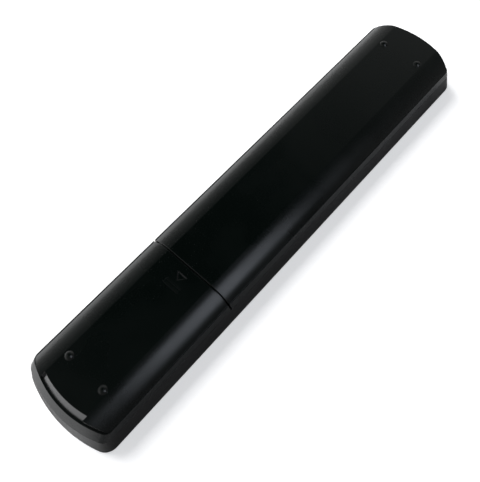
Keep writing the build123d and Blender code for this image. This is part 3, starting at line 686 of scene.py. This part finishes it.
def resin(name, colour, transmission, roughness):
    """Tinted clear resin with faint flow marks."""
    material, tree, shader = new_material(name)
    flow = noise(tree, flow_size, detail=3.0, stretch=flow_stretch)
    edges = use_group(tree, rubbed_edges, Radius=resin_edge)
    bump = add_node(
        tree,
        "ShaderNodeBump",
        {"Strength": 0.5, "Distance": flow_depth, "Height": flow, "Normal": edges["Normal"]},
    )
    deep = tuple(deep_share * part for part in colour)
    set_inputs(
        tree,
        shader,
        Base_Color=blend_colours(tree, flow, (*colour, 1), (*deep, 1)),
        Roughness=fade(tree, flow, *noise_span, roughness, roughness + flow_roughness),
        Transmission_Weight=transmission,
        IOR=resin_ior,
        Normal=first(bump),
    )
    return material


resin_finishes = {
    "window_plastic": resin(
        "window_plastic_finish", colour=(0.055, 0.002, 0.004), transmission=0.25, roughness=0.10,
    ),
    "lamp_resin": resin(
        "lamp_resin_finish", colour=(0.80, 0.86, 0.95), transmission=0.85, roughness=0.06,
    ),
    "indicator_resin": resin(
        "indicator_resin_finish", colour=(0.65, 0.02, 0.015), transmission=0.55, roughness=0.12,
    ),
}
print("resin finishes:", len(resin_finishes))

# %% [markdown]
# The capacitor's sleeve
#
# The capacitor is an aluminium can in a shrunk plastic sleeve, dark blue with a pale stripe down one side,
# and its top is bare. Stripe and top could be pieces of their own. Here the finish finds them by their
# place on the can, which its box in the frame gives.

# %% Capacitor sleeve
stripe_half = 1.0 * millimetre
stripe_softness = 0.1 * millimetre
top_depth = 0.10 * millimetre
crease_size = 1.2 * millimetre
crease_depth = 0.02 * millimetre
sleeve_roughness = (0.24, 0.36)
blue_sleeve = (0.010, 0.014, 0.045, 1)
pale_stripe = (0.45, 0.47, 0.50, 1)
bare_can = (0.70, 0.70, 0.70, 1)
sleeve_finish, tree, shader = new_material("capacitor_sleeve_finish")
low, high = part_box("capacitor")
middle = (low + high) / 2
place = add_node(tree, "ShaderNodeSeparateXYZ", {"Vector": own_place(tree)})
from_middle = maths(tree, "ABSOLUTE", maths(tree, "SUBTRACT", place.outputs["Y"], middle.y))
side = maths(tree, "GREATER_THAN", place.outputs["X"], middle.x)
stripe = fade(tree, from_middle, stripe_half, stripe_half - stripe_softness)
stripe = maths(tree, "MULTIPLY", side, stripe)
top = fade(tree, place.outputs["Z"], high.z - top_depth, high.z - top_depth / 2)
sleeve = blend_colours(tree, stripe, blue_sleeve, pale_stripe)
creases = noise(tree, crease_size, detail=3.0)
bump = add_node(tree, "ShaderNodeBump", {"Strength": 0.5, "Distance": crease_depth, "Height": creases})
set_inputs(
    tree,
    shader,
    Base_Color=blend_colours(tree, top, sleeve, bare_can),
    Metallic=top,
    Roughness=fade(tree, creases, *noise_span, *sleeve_roughness),
    Normal=first(bump),
)
print("sleeve finish:", len(tree.nodes), "nodes")

# %% [markdown]
# Every solid gets its finish
#
# A solid comes with a plain stand-in material. It could be swapped by hand for each of the nodes, but a
# loop over the slots can't forget one. Nothing is moved and no mesh is touched. The solids of the two cells
# are replaced further on, so plain steel will do for them.

# %% Dress the solids
finishes = {
    **moulded_finishes,
    **metal_finishes,
    **resin_finishes,
    "board_laminate": board_finish,
    "capacitor_sleeve": sleeve_finish,
    "battery_can": metal_finishes["contact_steel"],
}
for slot_name, members in nodes_in_slot.items():
    for member in members:
        for slot in nodes[member].material_slots:
            slot.material = finishes[slot_name]
print("dressed", len(nodes), "nodes, without a finish:", sorted(set(nodes_in_slot) - set(finishes)))

# %% [markdown]
# The two battery cells
#
# The cells show once the door is off. A cell is a steel can in a printed plastic sleeve, with a small
# contact nub on one end and a flat disc on the other. A plain cylinder would miss the lip where the
# sleeve is shrunk over the edge. So each cell starts as a cylinder, and its two ends are inset and
# extruded the way a can is pressed: sleeve lip, seal groove, then the nub.

# %% Sizes of a cell
left_low, left_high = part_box("left_battery")
right_low, right_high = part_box("right_battery")
cell_radius = (left_high.x - left_low.x) / 2
cell_x = (right_low.x + right_high.x) / 2
cell_z = (right_low.z + right_high.z) / 2
nub_length = 0.8 * millimetre
nub_radius = 1.9 * millimetre
lip_width = 0.55 * millimetre
groove_depth = 0.2 * millimetre
body_length = right_high.y - right_low.y - nub_length
print("cell body", round(body_length / millimetre, 1), "mm long")


# %% Select and finish by hand
def start_clean():
    """Leaves edit mode and drops every selection."""
    if bpy.context.object and bpy.context.object.mode != "OBJECT":
        bpy.ops.object.mode_set(mode="OBJECT")
    bpy.ops.object.select_all(action="DESELECT")


def pick_faces(piece, wanted):
    """Goes into edit mode with just the faces whose middle and normal pass a test."""
    bpy.ops.object.mode_set(mode="EDIT")
    bpy.context.tool_settings.mesh_select_mode = (False, False, True)
    bpy.ops.mesh.select_all(action="DESELECT")
    bpy.ops.object.mode_set(mode="OBJECT")
    for face in piece.data.polygons:
        face.select = wanted(face.center, face.normal)
    bpy.ops.object.mode_set(mode="EDIT")


def finish_piece(name, material, body):
    """Names the active piece, puts its place in its mesh, dresses it and lets it ride on a body."""
    piece = bpy.context.object
    bpy.ops.object.transform_apply(location=True, rotation=True, scale=True)
    piece.name = name
    piece.data.name = name
    piece.data.materials.clear()
    piece.data.materials.append(material)
    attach(piece, body)
    return piece


print("pieces can be selected and finished")

# %% Round edges and turn a copy
can_rounding = 0.12 * millimetre
rounding_steps = 2
can_smooth_angle = math.radians(35)


def round_edges(piece, width):
    """Rounds the sharp edges of the active piece and smooths its shading."""
    bevel = piece.modifiers.new("round", "BEVEL")
    bevel.width = width
    bevel.segments = rounding_steps
    bevel.limit_method = "ANGLE"
    bpy.ops.object.modifier_apply(modifier=bevel.name)
    bpy.ops.object.shade_smooth_by_angle(angle=can_smooth_angle)


def turned_copy(piece, middle_y):
    """A copy with its own mesh, turned half round about an upright line through the bay."""
    start_clean()
    copy = piece.copy()
    copy.data = piece.data.copy()
    bpy.context.collection.objects.link(copy)
    copy.select_set(True)
    bpy.context.view_layer.objects.active = copy
    there = Matrix.Translation((0, middle_y, 0))
    back = Matrix.Translation((0, -middle_y, 0))
    copy.data.transform(there @ Matrix.Rotation(math.pi, 4, "Z") @ back)
    return copy


print("edges rounded by", round(can_rounding / millimetre, 2), "mm")

# %% [markdown]
# The printed sleeve of the cells
#
# A cell wears a dark sleeve with a copper band towards its nub, and its ends are bare steel. The colours
# could be painted face by face. The finish counts along the cell from its flat end instead, and the two
# cells lie opposite ways round, so the side of the bay decides which way to count.

# %% Printed sleeve of the cells
band_start = 31 * millimetre
band_line = 0.6 * millimetre
black_sleeve = (0.014, 0.015, 0.018, 1)
copper_band = (0.62, 0.27, 0.10, 1)
silver_line = (0.70, 0.70, 0.70, 1)
bare_steel = (0.66, 0.65, 0.62, 1)
scratched = (0.4, 0.4, 0.4, 1)
scratch_share = 0.4
foil_share = 0.7
wrinkle_size = 1.6 * millimetre
wrinkle_depth = 0.02 * millimetre
cell_roughness = (0.22, 0.34)
sleeve_radius = cell_radius - lip_width
bay_middle = (left_low.y + right_high.y) / 2
flat_end = bay_middle - right_low.y
battery_finish, tree, shader = new_material("battery_can_finish")
place = add_node(tree, "ShaderNodeSeparateXYZ", {"Vector": own_place(tree)})
side = maths(tree, "SIGN", place.outputs["X"])
along = maths(tree, "MULTIPLY", maths(tree, "SUBTRACT", place.outputs["Y"], bay_middle), side)
along = maths(tree, "ADD", along, flat_end)
off_x = maths(tree, "SUBTRACT", maths(tree, "ABSOLUTE", place.outputs["X"]), cell_x)
off_z = maths(tree, "SUBTRACT", place.outputs["Z"], cell_z)
square_x = maths(tree, "POWER", off_x, 2.0)
square_z = maths(tree, "POWER", off_z, 2.0)
from_axis = maths(tree, "SQRT", maths(tree, "ADD", square_x, square_z))
steel = maths(tree, "LESS_THAN", from_axis, sleeve_radius)
band = maths(tree, "GREATER_THAN", along, band_start)
line = maths(tree, "COMPARE", along, band_start, band_line / 2)
wrinkles = noise(tree, wrinkle_size, detail=3.0)
colour = blend_colours(tree, band, black_sleeve, copper_band)
colour = blend_colours(tree, line, colour, silver_line)
colour = blend_colours(tree, steel, colour, bare_steel)
use = use_group(tree, signs_of_use)
worn = maths(tree, "MULTIPLY", use["Scratches"], scratch_share)
foil = maths(tree, "MULTIPLY", maths(tree, "MAXIMUM", band, line), foil_share)
bump = add_node(tree, "ShaderNodeBump", {"Strength": 0.4, "Distance": wrinkle_depth, "Height": wrinkles})
set_inputs(
    tree,
    shader,
    Base_Color=blend_colours(tree, worn, colour, scratched),
    Metallic=maths(tree, "MAXIMUM", steel, foil),
    Roughness=fade(tree, wrinkles, *noise_span, *cell_roughness),
    Normal=first(bump),
)
print("cell finish:", len(tree.nodes), "nodes")

# %% Model one cell
cell_corners = 48
end_likeness = 0.99
start_clean()
bpy.ops.mesh.primitive_cylinder_add(
    vertices=cell_corners,
    radius=cell_radius,
    depth=body_length,
    location=(cell_x, right_low.y + body_length / 2, cell_z),
    rotation=(math.radians(90), 0, 0),
)
cell = bpy.context.object
bpy.ops.object.transform_apply(location=True, rotation=True, scale=True)
end_steps = {
    1: ((lip_width, -groove_depth), (cell_radius - lip_width - nub_radius, groove_depth + nub_length)),
    -1: ((lip_width, -groove_depth), (lip_width, groove_depth / 2)),
}
for way, steps in end_steps.items():
    pick_faces(cell, lambda middle, normal, way=way: normal.y * way > end_likeness)
    for inset, lift in steps:
        bpy.ops.mesh.inset(thickness=inset)
        bpy.ops.mesh.extrude_region_move(TRANSFORM_OT_translate={"value": (0, way * lift, 0)})
    bpy.ops.object.mode_set(mode="OBJECT")
round_edges(cell, can_rounding)
right_cell = finish_piece("right_cell", battery_finish, body_of["right_battery"])
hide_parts("right_battery")
print("cell:", len(right_cell.data.polygons), "faces")

# %% Copy it the other way round
left_cell = turned_copy(right_cell, bay_middle)
left_cell = finish_piece("left_cell", battery_finish, body_of["left_battery"])
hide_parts("left_battery")
print("cells:", [len(one.data.polygons) for one in (left_cell, right_cell)], "faces")

# %% [markdown]
# The battery springs
#
# Each cell's flat end is pressed by a conical spring of plated steel wire. Its first and last turns lie
# flat, so that it sits square on its plate and on the cell. A cone could only hint at it. A curve follows
# the wire instead, turn by turn, and gets the wire's thickness. The second spring is the first one turned
# half round in the bay.

# %% Sizes of a spring
springs_low, springs_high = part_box("contact_springs")
base_radius = (springs_high.z - springs_low.z) / 2
tip_radius = 2.4 * millimetre
spring_length = 5.6 * millimetre
wire_radius = 0.33 * millimetre
spring_turns = 4.5
flat_share = 0.17
points_per_turn = 16
wire_roundness = 3
wire_smooth_angle = math.radians(50)
spring_x = springs_low.x + base_radius
spring_z = (springs_low.z + springs_high.z) / 2
print("spring:", round(2 * base_radius / millimetre, 1), "mm across at its foot")

# %% Wind the wire
wire = bpy.data.curves.new("spring_wire", "CURVE")
wire.dimensions = "3D"
wire.bevel_depth = wire_radius
wire.bevel_resolution = wire_roundness
wire.use_fill_caps = True
spline = wire.splines.new("NURBS")
count = int(spring_turns * points_per_turn) + 1
spline.points.add(count - 1)
for index, point in enumerate(spline.points):
    share = index / (count - 1)
    rise = min(max((share - flat_share) / (1 - 2 * flat_share), 0), 1)
    radius = base_radius - wire_radius + (tip_radius - base_radius) * rise
    angle = 2 * math.pi * spring_turns * share
    away = wire_radius + (spring_length - 2 * wire_radius) * rise
    point.co = (
        spring_x + radius * math.cos(angle),
        springs_high.y - away,
        spring_z + radius * math.sin(angle),
        1,
    )
spline.order_u = 3
spline.use_endpoint_u = True
print("wire:", count, "points, turns", spring_turns)

# %% Make it a mesh and turn a second one
wire_steel = metal_finishes["contact_steel"]
spring_body = body_of["contact_springs"]
start_clean()
spring = bpy.data.objects.new("left_spring", wire)
bpy.context.collection.objects.link(spring)
spring.select_set(True)
bpy.context.view_layer.objects.active = spring
bpy.ops.object.convert(target="MESH")
bpy.ops.object.shade_smooth_by_angle(angle=wire_smooth_angle)
left_spring = finish_piece("left_spring", wire_steel, spring_body)
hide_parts("contact_springs")
right_spring = turned_copy(left_spring, (springs_low.y + springs_high.y) / 2)
right_spring = finish_piece("right_spring", wire_steel, spring_body)
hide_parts("contact_springs")
print("springs:", [len(one.data.polygons) for one in (left_spring, right_spring)], "faces")

# %% [markdown]
# The marks on the keys
#
# Real keys are printed in a thin coat of pale paint: digits, arrows and plain signs. They could be drawn
# by a texture, but a print that thin still has an edge that catches the light. So each mark is a flat
# shape a few hundredths of a millimetre thick, half sunk in its key, and it moves with that key. The signs
# are put together from bars, triangles and rings, and the digits are text turned into a mesh. Everything
# is drawn in millimetres as seen from the front, around the middle of its key, and then turned over onto
# the face.

# %% Paint of the marks
paint_thickness = 0.04 * millimetre
paint_unevenness = 0.01 * millimetre
paint_grain = 0.25 * millimetre
thin_patch_size = 1.5 * millimetre
thin_patch_band = (0.35, 0.65)
paint_roughness = (0.45, 0.6)
full_paint = (0.66, 0.67, 0.67, 1)
thin_paint = (0.54, 0.55, 0.55, 1)
paint_finish, tree, shader = new_material("mark_paint_finish")
cover = noise(tree, paint_grain, detail=3.0)
patches = fade(tree, noise(tree, thin_patch_size), *thin_patch_band)
bump = add_node(tree, "ShaderNodeBump", {"Strength": 0.5, "Distance": paint_unevenness, "Height": cover})
set_inputs(
    tree,
    shader,
    Base_Color=blend_colours(tree, patches, full_paint, thin_paint),
    Roughness=fade(tree, cover, *noise_span, *paint_roughness),
    Normal=first(bump),
)
print("paint:", len(tree.nodes), "nodes")


# %% Bars and triangles
def thicken(piece):
    """Gives a flat shape the thickness of the paint."""
    solidify = piece.modifiers.new("paint", "SOLIDIFY")
    solidify.thickness = paint_thickness
    solidify.offset = 0
    bpy.ops.object.modifier_apply(modifier=solidify.name)
    return piece


def bar(across, along, width, height, turn=0):
    """A flat bar around a middle."""
    start_clean()
    bpy.ops.mesh.primitive_plane_add(size=1, rotation=(0, 0, math.radians(turn)))
    piece = bpy.context.object
    piece.scale = (width * millimetre, height * millimetre, 1)
    piece.location = (across * millimetre, along * millimetre, 0)
    bpy.ops.object.transform_apply(location=True, rotation=True, scale=True)
    return thicken(piece)


def triangle(across, along, radius, turn=0):
    """A flat triangle. With no turn it points to the far end."""
    start_clean()
    bpy.ops.mesh.primitive_circle_add(
        vertices=3,
        radius=radius * millimetre,
        fill_type="NGON",
        location=(across * millimetre, along * millimetre, 0),
        rotation=(0, 0, math.radians(turn)),
    )
    bpy.ops.object.transform_apply(location=True, rotation=True, scale=True)
    return thicken(bpy.context.object)


print("paint:", round(paint_thickness / millimetre, 2), "mm thick")

# %% Rings
ring_corners = 40


def ring(across, along, radius, width, gap=0, gap_turn=90):
    """A flat ring, with a gap of some degrees if wanted."""
    start_clean()
    bpy.ops.mesh.primitive_circle_add(vertices=ring_corners, radius=radius * millimetre, fill_type="NGON")
    piece = bpy.context.object
    pick_faces(piece, lambda middle, normal: True)
    bpy.ops.mesh.inset(thickness=width * millimetre)
    bpy.ops.mesh.delete(type="FACE")
    bpy.ops.object.mode_set(mode="OBJECT")
    if gap:
        open_way = Vector((math.cos(math.radians(gap_turn)), math.sin(math.radians(gap_turn)), 0))
        pick_faces(piece, lambda middle, normal: middle.angle(open_way) < math.radians(gap / 2))
        bpy.ops.mesh.delete(type="FACE")
        bpy.ops.object.mode_set(mode="OBJECT")
    piece.location = (across * millimetre, along * millimetre, 0)
    bpy.ops.object.transform_apply(location=True, rotation=True, scale=True)
    return thicken(piece)


print("rings have", ring_corners, "corners")

# %% Digits
digit_size = 3.9
digit_curve_steps = 4
merge_distance = 0.002 * millimetre


def digit(character):
    """A digit around its middle."""
    start_clean()
    bpy.ops.object.text_add()
    piece = bpy.context.object
    piece.data.body = character
    piece.data.size = digit_size * millimetre
    piece.data.align_x = "CENTER"
    piece.data.align_y = "CENTER"
    piece.data.resolution_u = digit_curve_steps
    bpy.ops.object.convert(target="MESH")
    bpy.ops.object.mode_set(mode="EDIT")
    bpy.ops.mesh.select_all(action="SELECT")
    bpy.ops.mesh.remove_doubles(threshold=merge_distance)
    bpy.ops.mesh.normals_make_consistent(inside=False)
    bpy.ops.object.mode_set(mode="OBJECT")
    return thicken(piece)


print("digits from a text of size", digit_size, "mm")


# %% Lay a mark on its key
def print_mark(key, parts):
    """Joins the parts of a mark and lays it on its key's face."""
    start_clean()
    for part in parts:
        part.select_set(True)
    bpy.context.view_layer.objects.active = parts[0]
    if len(parts) > 1:
        bpy.ops.object.join()
    low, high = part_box(key)
    piece = bpy.context.object
    piece.rotation_euler = (0, math.pi, 0)
    piece.location = ((low.x + high.x) / 2, (low.y + high.y) / 2, low.z)
    finish_piece(key.replace("_key", "_mark"), paint_finish, body_of[key])


print("marks can be made")

# %% Print the digits
digits = "0123456789"
for character in digits:
    print_mark(f"digit_{character}_key", [digit(character)])
print("digits:", len(digits))

# %% Print the signs above and beside the digits
stroke = 0.42
dash = 1.1
loop = 1.5
apart = 0.9
print_mark("power_key", [ring(0, -0.1, 1.6, stroke, gap=80), bar(0, 1.0, stroke, 1.9)])
print_mark(
    "source_key",
    [
        bar(0.3, 1.2, 3.0, stroke), bar(0.3, -1.2, 3.0, stroke), bar(1.6, 0, stroke, 2.4),
        bar(-1.3, 0, 1.6, stroke), triangle(0.0, 0, 0.75, turn=-90),
    ],
)
print_mark("dash_key", [bar(across, 0, dash, stroke) for across in (-apart, apart)])
print_mark(
    "recall_key",
    [ring(0, 0, loop, stroke, gap=70, gap_turn=120), triangle(-1.15, 1.15, 0.8, turn=40)],
)
print("signs: power, source, dash and recall")

# %% Print the signs for sound and channel
arm = 2.6
step_arrow = 1.5
print_mark("volume_up_key", [bar(0, 0, arm, stroke), bar(0, 0, stroke, arm)])
print_mark("volume_down_key", [bar(0, 0, arm, stroke)])
print_mark("channel_up_key", [triangle(0, -0.2, step_arrow)])
print_mark("channel_down_key", [triangle(0, 0.2, step_arrow, turn=180)])
print_mark(
    "mute_key",
    [
        bar(-1.3, 0, 0.9, 1.1), triangle(-0.5, 0, 1.25, turn=90),
        bar(1.35, 0, stroke, 1.7, turn=45), bar(1.35, 0, stroke, 1.7, turn=-45),
    ],
)
print("signs: volume, channel and mute")

# %% Print the signs for the menus and the pad
menu_line = 2.8
menu_step = 1.0
tile = 1.0
tile_apart = 0.75
cross = 3.0
pad_arrow = 1.3
pad_turns = {"up": 0, "left": 90, "down": 180, "right": 270}
print_mark("menu_key", [bar(0, along, menu_line, stroke) for along in (-menu_step, 0, menu_step)])
tile_places = [(x, y) for x in (-tile_apart, tile_apart) for y in (-tile_apart, tile_apart)]
print_mark("guide_key", [bar(x, y, tile, tile) for x, y in tile_places])
print_mark("back_key", [triangle(-0.9, 0, 0.9, turn=90), bar(0.6, 0, 2.0, stroke)])
print_mark("exit_key", [bar(0, 0, cross, stroke, turn=45), bar(0, 0, cross, stroke, turn=-45)])
for way, turn in pad_turns.items():
    print_mark(f"{way}_key", [triangle(0, 0, pad_arrow, turn)])
print_mark("select_key", [ring(0, 0, loop, stroke)])
print("signs: menu, guide, back, exit, arrows and select")

# %% Print the signs for playing
fast_arrow = 1.2
play_arrow = 1.4
print_mark("rewind_key", [triangle(across, 0, fast_arrow, turn=90) for across in (-apart, apart)])
print_mark("play_key", [triangle(0, 0, play_arrow, turn=270)])
print_mark("forward_key", [triangle(across, 0, fast_arrow, turn=270) for across in (-apart, apart)])
